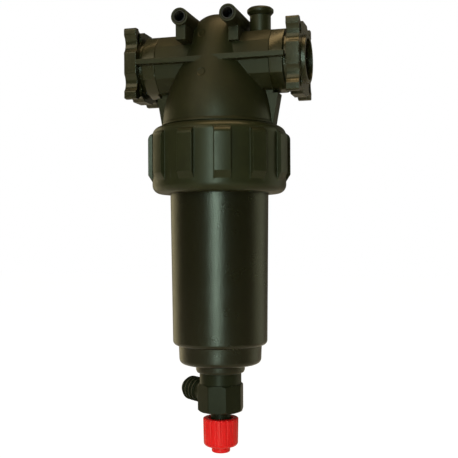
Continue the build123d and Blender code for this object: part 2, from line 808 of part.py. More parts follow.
# Drain knob: a fluted cup on the spindle, with a boss that hides the screw's head
with BuildPart() as drain_knob:
    with BuildSketch(Plane.XZ) as cup:
        with BuildLine():
            Polyline(
                (0, 0),
                (knob_boss_r, 0),
                (knob_boss_r, knob_boss_h),
                (knob_foot_r, knob_boss_h),
                (knob_r, knob_top_z),
                (knob_recess_r, knob_top_z),
                (knob_recess_r, recess_floor_z),
                (0, recess_floor_z),
                close=True,
            )
        make_face()
        fillet(cup.vertices().sort_by_distance((knob_boss_r, 0))[0], knob_boss_round)
        fillet(cup.vertices().sort_by_distance((knob_foot_r, knob_boss_h))[0], knob_round)
        fillet(cup.vertices().sort_by_distance((knob_r, knob_top_z))[0], knob_rim_round)
    revolve(axis=Axis.Z)
    with BuildSketch(Plane.XY.offset(knob_boss_h + knob_flute_foot)):
        with PolarLocations(knob_r + knob_flute_r - knob_flute_depth, knob_flutes):
            Circle(knob_flute_r)
    extrude(amount=knob_h - knob_flute_foot, mode=Mode.SUBTRACT)
    with BuildSketch(Plane.XY.offset(hub_floor)):
        Circle(spindle_r + shaft_gap)
    extrude(amount=recess_floor_z - hub_floor, mode=Mode.SUBTRACT)
    with BuildSketch(Plane.XY):
        Circle(screw_r + seat_gap)
    extrude(amount=hub_floor, mode=Mode.SUBTRACT)
    with BuildSketch(Plane.XY):
        Circle(screw_head_r + seat_gap)
    extrude(amount=screw_inset + screw_head_h, mode=Mode.SUBTRACT)
save(drain_knob.part, "drain_knob")

with BuildPart() as knob_screw:
    with BuildSketch(Plane.XY.offset(screw_inset)):
        Circle(screw_head_r)
    extrude(amount=screw_head_h - shaft_gap)
    with BuildSketch(Plane.XY.offset(screw_inset + screw_head_h - shaft_gap)):
        Circle(screw_r)
    extrude(amount=screw_l)
save(knob_screw.part, "knob_screw")
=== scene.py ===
import math

import bmesh
import bpy
import numpy as np
from bpy.props import FloatProperty, FloatVectorProperty, IntProperty, PointerProperty
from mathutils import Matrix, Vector


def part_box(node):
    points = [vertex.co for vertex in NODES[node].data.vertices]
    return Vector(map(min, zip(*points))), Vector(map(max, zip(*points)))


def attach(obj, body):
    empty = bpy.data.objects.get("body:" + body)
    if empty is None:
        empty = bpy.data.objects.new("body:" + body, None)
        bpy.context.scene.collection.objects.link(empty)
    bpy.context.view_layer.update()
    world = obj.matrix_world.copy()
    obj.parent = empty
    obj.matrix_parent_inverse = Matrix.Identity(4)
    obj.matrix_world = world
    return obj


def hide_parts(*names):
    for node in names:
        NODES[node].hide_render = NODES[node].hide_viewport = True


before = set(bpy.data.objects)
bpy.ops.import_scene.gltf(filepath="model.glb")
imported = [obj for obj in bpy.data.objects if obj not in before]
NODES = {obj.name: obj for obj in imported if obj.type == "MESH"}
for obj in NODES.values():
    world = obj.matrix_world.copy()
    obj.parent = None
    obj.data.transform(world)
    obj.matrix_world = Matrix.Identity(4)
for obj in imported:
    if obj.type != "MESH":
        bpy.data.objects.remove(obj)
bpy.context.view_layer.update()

bl_info = {
    "name": "Line Filter Dressing",
    "version": (1, 0, 0),
    "blender": (4, 5, 0),
    "location": "3D View > Sidebar > Line Filter",
    "description": "Rounded edges, threads, finishes, light and camera for a flanged line filter",
    "category": "Object",
}

PHOTO_WIDTH = 458
# Warm tint on the plastics' reflections: painted warm light, part of the lamps' warm colour written into the
# materials, not a colour of the plastic.
WARM_LIGHT_SPECULAR_TINT = (1.0, 0.92, 0.66, 1.0)
CHAMBER_R = 0.0400
CHAMBER_ROOM = 0.012


# Sizes, colours and stage values that a user may change


class FilterSizes(bpy.types.PropertyGroup):
    """Sizes of the edges, threads and textures."""

    edge_round: FloatProperty(
        name="Edge round", description="Rounding of the moulded edges",
        default=0.00035, min=0.00005, max=0.001, subtype="DISTANCE", unit="LENGTH", precision=5)
    knob_edge_round: FloatProperty(
        name="Knob edge round", description="Rounding of the knob's flutes and rims",
        default=0.0002, min=0.00005, max=0.0006, subtype="DISTANCE", unit="LENGTH", precision=5)
    insert_pitch: FloatProperty(
        name="Insert pitch", description="Thread pitch in the mounting inserts",
        default=0.00125, min=0.0005, max=0.002, subtype="DISTANCE", unit="LENGTH", precision=5)
    insert_thread_depth: FloatProperty(
        name="Insert thread depth", description="How far the insert's thread cuts in past its bore",
        default=0.0006, min=0.0002, max=0.001, subtype="DISTANCE", unit="LENGTH", precision=5)
    nut_pitch: FloatProperty(
        name="Nut pitch", description="Pitch of the coarse thread between head and ring nut",
        default=0.005, min=0.002, max=0.008, subtype="DISTANCE", unit="LENGTH", precision=4)
    mesh_pitch: FloatProperty(
        name="Mesh pitch", description="Distance between the wires of the filter mesh",
        default=0.0006, min=0.0002, max=0.002, subtype="DISTANCE", unit="LENGTH", precision=5)
    recess_width: FloatProperty(
        name="Recess width", description="Width of the cross recess in the knob's screw",
        default=0.0009, min=0.0004, max=0.0015, subtype="DISTANCE", unit="LENGTH", precision=5)
    recess_depth: FloatProperty(
        name="Recess depth", description="Depth of the cross recess in the knob's screw",
        default=0.0011, min=0.0004, max=0.0015, subtype="DISTANCE", unit="LENGTH", precision=5)
    turn_steps: IntProperty(
        name="Steps round", description="Steps round a turned surface", default=96, min=24, max=256)


class FilterColours(bpy.types.PropertyGroup):
    """Colours of the plastics, rubber and metals."""

    # The olive-brown cast in the head, ring nut, bowl and drain valve colours is painted warm light: the plastics are
    # black, and part of the lamps' warm colour is written into them.
    head: FloatVectorProperty(
        name="Head", description="Reinforced plastic of the head and the flange adapters",
        default=(0.0088, 0.0076, 0.0022), min=0, max=1, subtype="COLOR")
    nut: FloatVectorProperty(
        name="Ring nut", description="Plastic of the ring nut",
        default=(0.0105, 0.0100, 0.0035), min=0, max=1, subtype="COLOR")
    bowl: FloatVectorProperty(
        name="Bowl", description="Glossy plastic of the bowl",
        default=(0.0032, 0.0030, 0.0008), min=0, max=1, subtype="COLOR")
    valve: FloatVectorProperty(
        name="Drain valve", description="Plastic of the drain valve",
        default=(0.0070, 0.0070, 0.0026), min=0, max=1, subtype="COLOR")
    knob: FloatVectorProperty(
        name="Knob", description="Plastic of the drain knob",
        default=(0.50, 0.004, 0.005), min=0, max=1, subtype="COLOR")
    inner: FloatVectorProperty(
        name="Cartridge", description="Plastic of the cartridge's cage and caps",
        default=(0.105, 0.115, 0.125), min=0, max=1, subtype="COLOR")
    rubber: FloatVectorProperty(
        name="Seals", description="Rubber of the seals",
        default=(0.014, 0.014, 0.014), min=0, max=1, subtype="COLOR")
    steel: FloatVectorProperty(
        name="Steel", description="Wire and screw steel",
        default=(0.56, 0.57, 0.58), min=0, max=1, subtype="COLOR")
    dark_steel: FloatVectorProperty(
        name="Inserts", description="Blackened metal of the threaded inserts",
        default=(0.022, 0.020, 0.016), min=0, max=1, subtype="COLOR")
    brass: FloatVectorProperty(
        name="Spindle", description="Brass of the drain spindle",
        default=(0.66, 0.47, 0.19), min=0, max=1, subtype="COLOR")


class FilterStage(bpy.types.PropertyGroup):
    """Camera, lamps and floor."""

    distance: FloatProperty(
        name="Camera distance", description="Distance of the camera from the filter's axis",
        default=0.665, min=0.3, max=3.0, subtype="DISTANCE", unit="LENGTH")
    height: FloatProperty(
        name="Camera height", description="Height of the camera over the floor",
        default=0.1748, min=0.0, max=1.0, subtype="DISTANCE", unit="LENGTH", precision=4)
    azimuth: FloatProperty(
        name="Azimuth", description="Turn of the camera from the front of the mounting bosses",
        default=math.radians(16.0), subtype="ANGLE", unit="ROTATION")
    roll: FloatProperty(
        name="Roll", description="Lean of the camera about its line of sight",
        default=math.radians(0.33), subtype="ANGLE", unit="ROTATION")
    lens: FloatProperty(
        name="Lens", description="Focal length on a sensor 36 mm wide",
        default=65.3, min=20, max=200, subtype="DISTANCE_CAMERA")
    shift_right: FloatProperty(
        name="Shift across", description="Pixels between the filter's axis and the picture's middle",
        default=9.3, min=-40, max=40, subtype="PIXEL")
    shift_up: FloatProperty(
        name="Shift up", description="Pixels between the horizon and the picture's middle",
        default=4.0, min=-40, max=40, subtype="PIXEL")
    floor_drop: FloatProperty(
        name="Floor depth", description="How far the floor lies under the knob, clear of the lowered bowl",
        default=0.185, min=0.0, max=1.0, subtype="DISTANCE", unit="LENGTH", precision=3)
    floor_colour: FloatVectorProperty(
        name="Floor", description="Colour of the pale floor",
        default=(0.86, 0.85, 0.83), min=0, max=1, subtype="COLOR")
    warm_power: FloatProperty(
        name="Warm lamps", description="Power of the warm lamps", default=1.0, min=0.0, max=5.0, subtype="FACTOR")
    cool_power: FloatProperty(
        name="Cool lamp", description="Power of the cool strip lamp", default=1.0, min=0.0, max=5.0, subtype="FACTOR")


# Meshes


def put_mesh(name, points, faces, body, smooth=math.radians(35)):
    """Makes a mesh object from arrays of points (metres) and faces, and lets it ride on a body."""
    mesh = bpy.data.meshes.new(name)
    mesh.from_pydata(np.asarray(points, float).reshape(-1, 3), [], [list(map(int, f)) for f in faces])
    mesh.validate()
    mesh.update()
    mesh.shade_smooth()
    mesh.set_sharp_from_angle(angle=smooth)
    piece = bpy.data.objects.new(name, mesh)
    bpy.context.scene.collection.objects.link(piece)
    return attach(piece, body)


def grid_faces(rows, cols, wrap):
    """Quads of a grid of rows by cols points, numbered row by row; wrap joins the last column to the first."""
    r, c = np.meshgrid(np.arange(rows - 1), np.arange(cols if wrap else cols - 1), indexing="ij")
    after = (c + 1) % cols
    return np.stack([r * cols + c, r * cols + after, (r + 1) * cols + after, (r + 1) * cols + c], -1).reshape(-1, 4)


def rounded_skin(node, body, width, angle=math.radians(30), segments=2, hidden_r=0.0, hidden_z=0.0):
    """Copies a CAD node, joins its loose triangles and rounds each edge sharper than the angle by the width.
    Edges nearer to the Z axis than hidden_r and lower than hidden_z, inside a chamber, stay as they are."""
    source = NODES[node]
    work = bmesh.new()
    work.from_mesh(source.data)
    bmesh.ops.remove_doubles(work, verts=work.verts, dist=2e-6)
    bmesh.ops.dissolve_degenerate(work, edges=work.edges, dist=2e-6)
    weight = work.edges.layers.float.new("bevel_weight_edge")
    for edge in work.edges:
        middle = (edge.verts[0].co + edge.verts[1].co) / 2
        inside = middle.xy.length < hidden_r and middle.z < hidden_z
        if not inside and len(edge.link_faces) == 2 and edge.calc_face_angle(0.0) > angle:
            edge[weight] = 1.0
    mesh = bpy.data.meshes.new(node + "_rounded")
    work.to_mesh(mesh)
    work.free()
    mesh.shade_smooth()
    draft = bpy.data.objects.new(node + "_draft", mesh)
    bpy.context.scene.collection.objects.link(draft)
    bevel = draft.modifiers.new("edges", "BEVEL")
    bevel.limit_method = "WEIGHT"
    bevel.width = width
    bevel.segments = segments
    bevel.use_clamp_overlap = False
    bevel.harden_normals = False
    weigh = draft.modifiers.new("normals", "WEIGHTED_NORMAL")
    weigh.keep_sharp = True
    weigh.weight = 60
    done = bpy.data.meshes.new_from_object(draft.evaluated_get(bpy.context.evaluated_depsgraph_get()))
    bpy.data.objects.remove(draft)
    done.name = node + "_skin"
    done.materials.clear()
    piece = bpy.data.objects.new(node + "_skin", done)
    bpy.context.scene.collection.objects.link(piece)
    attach(piece, body)
    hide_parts(node)
    return piece


def dress(piece, material):
    """Gives a piece its material."""
    piece.data.materials.clear()
    piece.data.materials.append(material)
    return piece


def dress_node(node, material):
    """Gives a CAD node its material in every slot, and leaves its mesh alone."""
    target = NODES[node]
    if not target.material_slots:
        target.data.materials.append(material)
    for place in target.material_slots:
        place.link = "OBJECT"
        place.material = material


# Shader node groups, each made once


def new_group(name, inputs, outputs):
    """An empty shader node group with float inputs and outputs, apart from a vector named Vector."""
    group = bpy.data.node_groups.new(name, "ShaderNodeTree")
    for label, value in inputs.items():
        kind = "NodeSocketVector" if label == "Vector" else "NodeSocketFloat"
        made = group.interface.new_socket(name=label, in_out="INPUT", socket_type=kind)
        if label != "Vector":
            made.default_value = value
    for label in outputs:
        group.interface.new_socket(name=label, in_out="OUTPUT", socket_type="NodeSocketFloat")
    return group, group.nodes.new("NodeGroupInput"), group.nodes.new("NodeGroupOutput")


def math_node(tree, operation, *values, clamp=False):
    """A Math node whose inputs are numbers or sockets."""
    node = tree.nodes.new("ShaderNodeMath")
    node.operation = operation
    node.use_clamp = clamp
    for place, value in zip(node.inputs, values):
        if isinstance(value, (int, float)):
            place.default_value = value
        else:
            tree.links.new(value, place)
    return node.outputs[0]


def noise(tree, vector, scale, detail=2.0, rough=0.5):
    """A noise value from 0 to 1 at that scale per metre."""
    node = tree.nodes.new("ShaderNodeTexNoise")
    node.inputs["Detail"].default_value = detail
    node.inputs["Roughness"].default_value = rough
    tree.links.new(vector, node.inputs["Vector"])
    if isinstance(scale, (int, float)):
        node.inputs["Scale"].default_value = scale
    else:
        tree.links.new(scale, node.inputs["Scale"])
    return node.outputs[0]


def spread(tree, value, low, high, out_low=0.0, out_high=1.0):
    """Maps a value from one range to another, held at the ends."""
    node = tree.nodes.new("ShaderNodeMapRange")
    tree.links.new(value, node.inputs["Value"])
    for label, number in (("From Min", low), ("From Max", high), ("To Min", out_low), ("To Max", out_high)):
        node.inputs[label].default_value = number
    return node.outputs[0]


def moulded_group():
    """Moulded plastic: fine grain, slow flow mottle and sparse rub marks."""
    group, source, sink = new_group(
        "moulded_plastic", {"Vector": None, "Grain": 1400.0, "Rubs": 0.5}, ("Height", "Mottle", "Rub"))
    place = source.outputs["Vector"]
    fine = noise(group, place, source.outputs["Grain"], 3.0, 0.6)
    slow = noise(group, place, 38.0, 3.0, 0.55)
    cloud = noise(group, place, 130.0, 2.0, 0.5)
    streaks = group.nodes.new("ShaderNodeMapping")
    streaks.inputs["Scale"].default_value = (900.0, 900.0, 60.0)
    group.links.new(place, streaks.inputs["Vector"])
    lines = noise(group, streaks.outputs[0], 1.0, 2.0, 0.5)
    rub = math_node(group, "MULTIPLY", spread(group, lines, 0.66, 0.82), spread(group, cloud, 0.56, 0.74))
    group.links.new(fine, sink.inputs["Height"])
    group.links.new(math_node(group, "MULTIPLY_ADD", slow, 0.7, math_node(group, "MULTIPLY", cloud, 0.3)),
                    sink.inputs["Mottle"])
    group.links.new(math_node(group, "MULTIPLY", rub, source.outputs["Rubs"]), sink.inputs["Rub"])
    return group


def helix_group():
    """Coarse thread between two heights: a rounded ridge that climbs one pitch in each turn about Z."""
    group, source, sink = new_group(
        "coarse_thread", {"Vector": None, "Pitch": 0.005, "Low": 0.2, "High": 0.25, "Inner": 0.0, "Outer": 1.0},
        ("Height", "Mask"))
    split = group.nodes.new("ShaderNodeSeparateXYZ")
    group.links.new(source.outputs["Vector"], split.inputs[0])
    x, y, z = split.outputs
    turn = math_node(group, "DIVIDE", math_node(group, "ARCTAN2", y, x), 2 * math.pi)
    phase = math_node(group, "SUBTRACT", math_node(group, "DIVIDE", z, source.outputs["Pitch"]), turn)
    wave = math_node(group, "PINGPONG", phase, 0.5)
    ridge = spread(group, wave, 0.12, 0.38)
    radius = math_node(group, "SQRT", math_node(
        group, "ADD", math_node(group, "MULTIPLY", x, x), math_node(group, "MULTIPLY", y, y)))
    inside = math_node(group, "MULTIPLY",
                       math_node(group, "GREATER_THAN", z, source.outputs["Low"]),
                       math_node(group, "LESS_THAN", z, source.outputs["High"]))
    ring = math_node(group, "MULTIPLY",
                     math_node(group, "GREATER_THAN", radius, source.outputs["Inner"]),
                     math_node(group, "LESS_THAN", radius, source.outputs["Outer"]))
    mask = math_node(group, "MULTIPLY", inside, ring)
    group.links.new(math_node(group, "MULTIPLY", ridge, mask), sink.inputs["Height"])
    group.links.new(mask, sink.inputs["Mask"])
    return group


def weave_group():
    """Plain weave round the Z axis: wires along the height cross wires round the barrel."""
    group, source, sink = new_group(
        "wire_weave", {"Vector": None, "Pitch": 0.0006, "Radius": 0.025}, ("Height", "Hole"))
    split = group.nodes.new("ShaderNodeSeparateXYZ")
    group.links.new(source.outputs["Vector"], split.inputs[0])
    x, y, z = split.outputs
    arc = math_node(group, "MULTIPLY", math_node(group, "ARCTAN2", y, x), source.outputs["Radius"])
    across = math_node(group, "PINGPONG", math_node(group, "DIVIDE", arc, source.outputs["Pitch"]), 0.5)
    along = math_node(group, "PINGPONG", math_node(group, "DIVIDE", z, source.outputs["Pitch"]), 0.5)
    warp = spread(group, across, 0.0, 0.26, 1.0, 0.0)
    weft = spread(group, along, 0.0, 0.26, 1.0, 0.0)
    wire = math_node(group, "MAXIMUM", warp, weft)
    group.links.new(wire, sink.inputs["Height"])
    group.links.new(spread(group, wire, 0.02, 0.12, 1.0, 0.0), sink.inputs["Hole"])
    return group


def turning_group():
    """Turned metal: fine rings round the Z axis, with a slow change of tone."""
    group, source, sink = new_group(
        "turning_marks", {"Vector": None, "Rings": 9000.0}, ("Height", "Tone"))
    split = group.nodes.new("ShaderNodeSeparateXYZ")
    group.links.new(source.outputs["Vector"], split.inputs[0])
    x, y, z = split.outputs
    radius = math_node(group, "SQRT", math_node(
        group, "ADD", math_node(group, "MULTIPLY", x, x), math_node(group, "MULTIPLY", y, y)))
    ring = math_node(group, "MULTIPLY", math_node(group, "ADD", radius, z), source.outputs["Rings"])
    group.links.new(math_node(group, "SINE", ring), sink.inputs["Height"])
    group.links.new(noise(group, source.outputs["Vector"], 260.0, 2.0), sink.inputs["Tone"])
    return group


def dimple_group():
    """Shallow round dimples on the front of the head: two spots, given by where they lie across and up."""
    group, source, sink = new_group(
        "ejector_spots", {"Vector": None, "Upper": 0.3304, "Lower": 0.2977}, ("Height",))
    split = group.nodes.new("ShaderNodeSeparateXYZ")
    group.links.new(source.outputs["Vector"], split.inputs[0])
    x, y, z = split.outputs
    total = None
    for across, height in ((-0.0072, source.outputs["Upper"]), (-0.0036, source.outputs["Lower"])):
        dx = math_node(group, "SUBTRACT", x, across)
        dz = math_node(group, "SUBTRACT", z, height)
        away = math_node(group, "SQRT", math_node(
            group, "ADD", math_node(group, "MULTIPLY", dx, dx), math_node(group, "MULTIPLY", dz, dz)))
        spot = spread(group, away, 0.0026, 0.0034, 1.0, 0.0)
        total = spot if total is None else math_node(group, "ADD", total, spot)
    front = math_node(group, "LESS_THAN", y, -0.012)
    group.links.new(math_node(group, "MULTIPLY", total, front), sink.inputs["Height"])
    return group


def shared(name):
    """The node group of that name, made the first time it is asked for."""
    makers = {"moulded_plastic": moulded_group, "coarse_thread": helix_group, "wire_weave": weave_group,
              "turning_marks": turning_group, "ejector_spots": dimple_group}
    return bpy.data.node_groups.get(name) or makers[name]()


def use_group(tree, name, place, **values):
    """Places a shared group in a material, reads it at the given coordinates and sets its values."""
    node = tree.nodes.new("ShaderNodeGroup")
    node.node_tree = shared(name)
    tree.links.new(place, node.inputs["Vector"])
    for label, value in values.items():
        node.inputs[label].default_value = value
    return node


def tint(tree, colour, mottle, amount, rub=None, rub_colour=(0.07, 0.066, 0.055)):
    """The base colour with slow light and dark, and paler rub marks where given."""
    blend = tree.nodes.new("ShaderNodeMix")
    blend.data_type = "RGBA"
    tree.links.new(spread(tree, mottle, 0.35, 0.65), blend.inputs["Factor"])
    blend.inputs["A"].default_value = (*[c * (1 - amount) for c in colour], 1)
    blend.inputs["B"].default_value = (*[min(1, c * (1 + amount)) for c in colour], 1)
    out = blend.outputs["Result"]
    if rub is None:
        return out
    worn = tree.nodes.new("ShaderNodeMix")
    worn.data_type = "RGBA"
    tree.links.new(rub, worn.inputs["Factor"])
    tree.links.new(out, worn.inputs["A"])
    worn.inputs["B"].default_value = (*rub_colour, 1)
    return worn.outputs["Result"]


def bump(tree, height, strength, distance, normal=None):
    """A bump of that height in metres, on top of another where given."""
    node = tree.nodes.new("ShaderNodeBump")
    node.inputs["Strength"].default_value = strength
    node.inputs["Distance"].default_value = distance
    tree.links.new(height, node.inputs["Height"])
    if normal is not None:
        tree.links.new(normal, node.inputs["Normal"])
    return node.outputs[0]


def start_material(name):
    """A fresh material: its tree, its shader and its object coordinates."""
    material = bpy.data.materials.new(name)
    material.use_nodes = True
    tree = material.node_tree
    shader = tree.nodes["Principled BSDF"]
    place = tree.nodes.new("ShaderNodeTexCoord").outputs["Object"]
    return material, tree, shader, place


def plastic(name, colour, rough, grain, grain_height, mottle=0.16, rubs=0.5, gloss=0.15, spread_rough=0.06,
            thread=None, spots=False):
    """Moulded plastic with grain, mottle and rub marks; a thread or ejector spots where given."""
    material, tree, shader, place = start_material(name)
    skin = use_group(tree, "moulded_plastic", place, Grain=grain, Rubs=rubs)
    colour_out = tint(tree, colour, skin.outputs["Mottle"], mottle, skin.outputs["Rub"])
    tree.links.new(colour_out, shader.inputs["Base Color"])
    tree.links.new(spread(tree, skin.outputs["Mottle"], 0.3, 0.7, rough + spread_rough, rough - spread_rough),
                   shader.inputs["Roughness"])
    normal = bump(tree, skin.outputs["Height"], 1.0, grain_height)
    if thread:
        helix = use_group(tree, "coarse_thread", place, **thread)
        normal = bump(tree, helix.outputs["Height"], 1.0, 0.0011, normal)
    if spots:
        dots = use_group(tree, "ejector_spots", place)
        normal = bump(tree, dots.outputs["Height"], 1.0, -0.0004, normal)
    tree.links.new(normal, shader.inputs["Normal"])
    shader.inputs["Specular IOR Level"].default_value = gloss
    # Painted warm light: the reflections take part of the lamps' warm colour from this tint.
    shader.inputs["Specular Tint"].default_value = WARM_LIGHT_SPECULAR_TINT
    return material


def metal(name, colour, rough, rings, ring_height, metallic=1.0):
    """Turned metal with fine rings and a little tone."""
    material, tree, shader, place = start_material(name)
    marks = use_group(tree, "turning_marks", place, Rings=rings)
    tree.links.new(tint(tree, colour, marks.outputs["Tone"], 0.14), shader.inputs["Base Color"])
    tree.links.new(spread(tree, marks.outputs["Tone"], 0.3, 0.7, rough + 0.07, rough - 0.05),
                   shader.inputs["Roughness"])
    tree.links.new(bump(tree, marks.outputs["Height"], 1.0, ring_height), shader.inputs["Normal"])
    shader.inputs["Metallic"].default_value = metallic
    return material


def rubber(name, colour):
    """Matte rubber with a fine bloom."""
    material, tree, shader, place = start_material(name)
    skin = use_group(tree, "moulded_plastic", place, Grain=2600.0, Rubs=0.25)
    tree.links.new(tint(tree, colour, skin.outputs["Mottle"], 0.3, skin.outputs["Rub"], (0.06, 0.06, 0.06)),
                   shader.inputs["Base Color"])
    tree.links.new(spread(tree, skin.outputs["Mottle"], 0.3, 0.7, 0.62, 0.5), shader.inputs["Roughness"])
    tree.links.new(bump(tree, skin.outputs["Height"], 1.0, 0.00003), shader.inputs["Normal"])
    return material


def wire_cloth(name, colour, pitch, radius):
    """Woven steel wire with see-through holes."""
    material, tree, shader, place = start_material(name)
    weave = use_group(tree, "wire_weave", place, Pitch=pitch, Radius=radius)
    marks = use_group(tree, "turning_marks", place, Rings=4000.0)
    tree.links.new(tint(tree, colour, marks.outputs["Tone"], 0.2), shader.inputs["Base Color"])
    tree.links.new(spread(tree, marks.outputs["Tone"], 0.3, 0.7, 0.42, 0.3), shader.inputs["Roughness"])
    tree.links.new(spread(tree, weave.outputs["Hole"], 0.0, 1.0, 1.0, 0.25), shader.inputs["Alpha"])
    tree.links.new(bump(tree, weave.outputs["Height"], 1.0, 0.00016), shader.inputs["Normal"])
    shader.inputs["Metallic"].default_value = 1.0
    return material


# One operator for each piece or group of like pieces


class FILTER_OT_head(bpy.types.Operator):
    """Rounded skins and satin plastic for the head, the flange adapters and the gauge plug"""

    bl_idname = "object.filter_head"
    bl_label = "Head and adapters"

    def execute(self, context):
        sizes, colours = context.scene.filter_sizes, context.scene.filter_colours
        skirt_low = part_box("head")[0].z
        skirt_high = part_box("ring_nut")[1].z
        skirt_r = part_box("bowl")[1].x
        head_finish = plastic(
            "head_plastic", colours.head, 0.44, 900.0, 0.00005, mottle=0.18, rubs=0.35,
            thread={"Pitch": sizes.nut_pitch, "Low": skirt_low + 0.002, "High": skirt_high - 0.006,
                    "Inner": skirt_r - 0.0012, "Outer": skirt_r + 0.0004},
            spots=True)
        chamber_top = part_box("cartridge_top_cap")[1].z + CHAMBER_ROOM
        dress(rounded_skin("head", "filter_head", sizes.edge_round, hidden_r=CHAMBER_R, hidden_z=chamber_top),
              head_finish)
        adapter_finish = plastic("adapter_plastic", colours.head, 0.24, 1100.0, 0.00003, mottle=0.14, rubs=0.35,
                                 gloss=0.28)
        for node in ("inlet_flange_adapter", "outlet_flange_adapter"):
            dress(rounded_skin(node, "filter_head", sizes.edge_round), adapter_finish)
        plug_finish = plastic("plug_plastic", colours.head, 0.40, 1400.0, 0.00003, mottle=0.12, rubs=0.3)
        dress(rounded_skin("gauge_plug", "filter_head", sizes.edge_round), plug_finish)
        return {"FINISHED"}


class FILTER_OT_inserts(bpy.types.Operator):
    """Threaded inserts in the mounting bosses"""

    bl_idname = "object.filter_inserts"
    bl_label = "Threaded inserts"

    def execute(self, context):
        sizes, colours = context.scene.filter_sizes, context.scene.filter_colours
        low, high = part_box("boss_inserts")
        outer_r = (high.z - low.z) / 2
        finish = metal("insert_metal", colours.dark_steel, 0.42, 9000.0, 0.000004)
        for side, at_x in (("left", low.x + outer_r), ("right", high.x - outer_r)):
            points, faces = self.insert(
                at_x, low.y, high.y, (low.z + high.z) / 2, outer_r, sizes)
            piece = put_mesh(f"threaded_insert_{side}", points, faces, "filter_head")
            dress(piece, finish)
            if side == "left":
                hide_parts("boss_inserts")
        return {"FINISHED"}

    def insert(self, at_x, front_y, back_y, at_z, outer_r, sizes):
        """A turned profile carried once round the hole's axis. From the back's middle it runs out, forward and
        in to the hole; there the radius is the bore's, plus the thread's depth times a triangle wave of
        (depth / pitch - angle / turn), down to the flat floor of the hole."""
        bore_r, wall = 0.0034, 0.0003
        hole_end = front_y + 0.015
        steps = int((hole_end - front_y - 0.001) / sizes.insert_pitch * 8)
        depth = np.linspace(front_y + 0.0006, hole_end - 0.0004, steps)
        profile_y = np.concatenate([[back_y, back_y, front_y + wall, front_y, front_y], depth, [hole_end, hole_end]])
        profile_r = np.concatenate(
            [[0.0, outer_r, outer_r, outer_r - wall, bore_r + sizes.insert_thread_depth],
             np.full(steps, bore_r), [bore_r, 0.0]])
        threaded = np.zeros(len(profile_y))
        threaded[5:5 + steps] = 1.0
        angle = np.linspace(0, 2 * np.pi, 48, endpoint=False)
        y, turn = np.meshgrid(profile_y, angle, indexing="ij")
        phase = (y / sizes.insert_pitch - turn / (2 * np.pi)) % 1.0
        wave = 1 - np.abs(2 * phase - 1)
        r = profile_r[:, None] + threaded[:, None] * sizes.insert_thread_depth * wave
        points = np.stack([at_x + r * np.cos(turn), y, at_z + r * np.sin(turn)], -1)
        return close_poles(points)


def close_poles(points):
    """Faces of a turned grid whose first and last rows are single points on the axis."""
    rows, cols = points.shape[:2]
    inner = points[1:-1].reshape(-1, 3)
    everything = np.concatenate([inner, points[:1, 0], points[-1:, 0]])
    faces = [list(f) for f in grid_faces(rows - 2, cols, True)]
    first, last = len(inner), len(inner) + 1
    around = np.arange(cols)
    beside = (around + 1) % cols
    faces += [[first, b, a] for a, b in zip(around, beside)]
    base = (rows - 3) * cols
    faces += [[last, base + a, base + b] for a, b in zip(around, beside)]
    mesh = bpy.data.meshes.new("check")
    mesh.from_pydata(everything, [], faces)
    work = bmesh.new()
    work.from_mesh(mesh)
    bmesh.ops.recalc_face_normals(work, faces=work.faces)
    volume = work.calc_volume(signed=True)
    if volume < 0:
        bmesh.ops.reverse_faces(work, faces=work.faces)
    outward = [[v.index for v in f.verts] for f in work.faces]
    work.free()
    bpy.data.meshes.remove(mesh)
    return everything, outward


class FILTER_OT_ring_nut(bpy.types.Operator):
    """Rounded skin and satin plastic for the ring nut"""

    bl_idname = "object.filter_ring_nut"
    bl_label = "Ring nut"

    def execute(self, context):
        sizes, colours = context.scene.filter_sizes, context.scene.filter_colours
        low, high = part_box("ring_nut")
        thread_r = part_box("bowl")[1].x
        finish = plastic(
            "nut_plastic", colours.nut, 0.36, 1000.0, 0.00003, mottle=0.18, rubs=0.45,
            thread={"Pitch": sizes.nut_pitch, "Low": low.z + 0.016, "High": high.z - 0.004,
                    "Inner": thread_r - 0.0005, "Outer": thread_r + 0.0008})
        dress(rounded_skin("ring_nut", "ring_nut", sizes.edge_round), finish)
        return {"FINISHED"}


class FILTER_OT_bowl(bpy.types.Operator):
    """Rounded skin and glossy grained plastic for the bowl"""

    bl_idname = "object.filter_bowl"
    bl_label = "Bowl"

    def execute(self, context):
        sizes, colours = context.scene.filter_sizes, context.scene.filter_colours
        finish = plastic("bowl_plastic", colours.bowl, 0.29, 1100.0, 0.00012, mottle=0.2, rubs=0.25,
                         gloss=0.27, spread_rough=0.03)
        dress(rounded_skin("bowl", "filter_bowl", sizes.edge_round), finish)
        return {"FINISHED"}


class FILTER_OT_drain_valve(bpy.types.Operator):
    """Rounded skins and plastic for the drain valve's body and bonnet"""

    bl_idname = "object.filter_drain_valve"
    bl_label = "Drain valve"

    def execute(self, context):
        sizes, colours = context.scene.filter_sizes, context.scene.filter_colours
        finish = plastic("valve_plastic", colours.valve, 0.40, 1500.0, 0.00003, mottle=0.14, rubs=0.4,
                         gloss=0.09)
        for node in ("valve_body", "bonnet"):
            dress(rounded_skin(node, "filter_bowl", sizes.edge_round), finish)
        dress_node("valve_disc", plastic("disc_plastic", colours.inner, 0.42, 1500.0, 0.00002, mottle=0.1, rubs=0.2))
        return {"FINISHED"}


